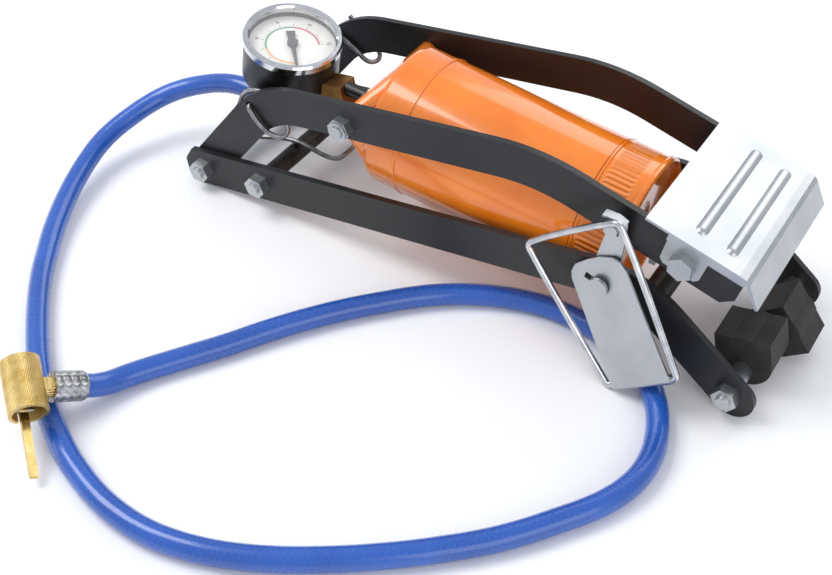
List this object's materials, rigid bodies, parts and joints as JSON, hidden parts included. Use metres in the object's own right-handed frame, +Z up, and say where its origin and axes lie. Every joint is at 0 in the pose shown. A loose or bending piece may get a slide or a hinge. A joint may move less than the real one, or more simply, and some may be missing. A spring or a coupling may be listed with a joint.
{
  "type": "foot air pump",
  "caption": "Folded single-barrel foot air pump with scissor frame, ribbed pedal, return spring, pressure gauge, long hose and lever chuck.",
  "frame": {"origin": "centre of the pump without its hose, on the floor it stands on", "axes": "+X from the spring pivot to the pedal, +Y across to the far rail, +Z up"},
  "size_m": [0.3543, 0.2673, 0.0935],
  "materials": {
    "black_paint": "semi-gloss black paint",
    "zinc_steel": "bright zinc plate",
    "dark_bar": "oiled dark steel",
    "spring_wire": "plated spring wire",
    "bail_chrome": "bright plated wire",
    "orange_paint": "gloss orange enamel",
    "brass_block": "machined",
    "black_plastic": "gloss black",
    "bezel_chrome": "polished",
    "gauge_lens": "clear",
    "dial_white": "printed satin white",
    "needle_black": "black",
    "piston_plastic": "moulded black",
    "cup_rubber": "greased cup",
    "foot_rubber": "matt black",
    "hose_blue": "translucent blue skin",
    "ferrule_metal": "crimped",
    "chuck_metal": "knurled, plated",
    "lever_brass": "polished",
    "seal_rubber": "matt"
  },
  "bodies": {
    "base": {"base_rail_near": "black_paint", "base_rail_far": "black_paint", "cross_tube": "dark_bar", "cross_bar": "dark_bar", "pivot_bolt": "zinc_steel", "tube_bolt": "zinc_steel", "foot_axle": "zinc_steel", "foot_spacers": "zinc_steel", "rail_stud": "zinc_steel", "return_spring": "spring_wire", "hose": "hose_blue", "hose_ferrule": "ferrule_metal", "chuck_body": "chuck_metal", "chuck_seal": "seal_rubber", "chuck_pin": "zinc_steel"},
    "pedal": {"pedal_arm_near": "black_paint", "pedal_arm_far": "black_paint", "head_bolt": "zinc_steel", "pedal_plate": "zinc_steel", "pedal_bolts": "zinc_steel", "lock_stud": "zinc_steel"},
    "pump_barrel": {"barrel_tube": "orange_paint", "barrel_head": "orange_paint", "barrel_end_cap": "orange_paint", "outlet_tube": "black_plastic", "manifold": "brass_block", "check_spring": "spring_wire", "gauge_case": "black_plastic", "gauge_bezel": "bezel_chrome", "gauge_glass": "gauge_lens", "gauge_dial": "dial_white", "gauge_hub": "brass_block"},
    "plunger": {"piston": "piston_plastic", "piston_cup": "cup_rubber", "piston_nut": "zinc_steel", "piston_rod": "zinc_steel"},
    "needle": {"gauge_needle": "needle_black"},
    "valve_ball": {"check_ball": "zinc_steel"},
    "hook": {"lock_hook": "zinc_steel"},
    "plate": {"lock_plate": "zinc_steel"},
    "bail": {"wire_bail": "bail_chrome"},
    "near_foot": {"foot_near": "foot_rubber"},
    "far_foot": {"foot_far": "foot_rubber"},
    "lever": {"chuck_lever": "lever_brass"}
  },
  "joints": [
    {"name": "pedal_hinge", "type": "hinge", "parent": "base", "child": "pedal", "pos_m": [-0.1428, 0.0051, 0.01044], "axis": [0, -1, 0], "range_deg": [0, 45], "deforming": ["return_spring", "hose"]},
    {"name": "barrel_swing", "type": "hinge", "parent": "pedal", "child": "pump_barrel", "pos_m": [-0.06002, 0.0051, 0.06791], "axis": [0, -1, 0], "range_deg": [-54, 0]},
    {"name": "piston_stroke", "type": "slide", "parent": "pump_barrel", "child": "plunger", "axis": [0.9953, 0, -0.0964], "range_m": [0, 0.0733]},
    {"name": "needle_turn", "type": "hinge", "parent": "pump_barrel", "child": "needle", "pos_m": [-0.11081, -0.00064, 0.07513], "axis": [-0.1752, 0.0436, -0.9836], "range_deg": [0, 270]},
    {"name": "ball_lift", "type": "slide", "parent": "pump_barrel", "child": "valve_ball", "axis": [0.1599, 0, -0.9871], "range_m": [0, 0.0014], "stiffness_N_per_m": 20, "springref_m": -0.001, "deforming": ["check_spring"]},
    {"name": "hook_swing", "type": "hinge", "parent": "base", "child": "hook", "pos_m": [0.07341, -0.0364, 0.04718], "axis": [0, 1, 0], "range_deg": [0, 30]},
    {"name": "plate_swing", "type": "hinge", "parent": "base", "child": "plate", "pos_m": [0.07341, -0.0399, 0.04718], "axis": [0, 1, 0], "range_deg": [-35, 0]},
    {"name": "bail_swing", "type": "hinge", "parent": "plate", "child": "bail", "pos_m": [0.09939, -0.04885, 0.01102], "axis": [0.8121, 0, 0.5835], "range_deg": [0, 80]},
    {"name": "near_foot_turn", "type": "hinge", "parent": "base", "child": "near_foot", "pos_m": [0.1334, -0.0089, 0.01141], "axis": [0, 1, 0], "range_deg": [-25, 25]},
    {"name": "far_foot_turn", "type": "hinge", "parent": "base", "child": "far_foot", "pos_m": [0.1334, 0.0153, 0.01141], "axis": [0, 1, 0], "range_deg": [-25, 60]},
    {"name": "lever_turn", "type": "hinge", "parent": "base", "child": "lever", "pos_m": [-0.10114, -0.19732, 0.01427], "axis": [0.4487, 0.7873, -0.4229], "range_deg": [0, 90]}
  ],
  "couplings": [
    {"joint": "barrel_swing", "follows": "pedal_hinge", "ratio": -1.1982},
    {"joint": "piston_stroke", "follows": "pedal_hinge", "m_per_rad": 0.093243}
  ]
}
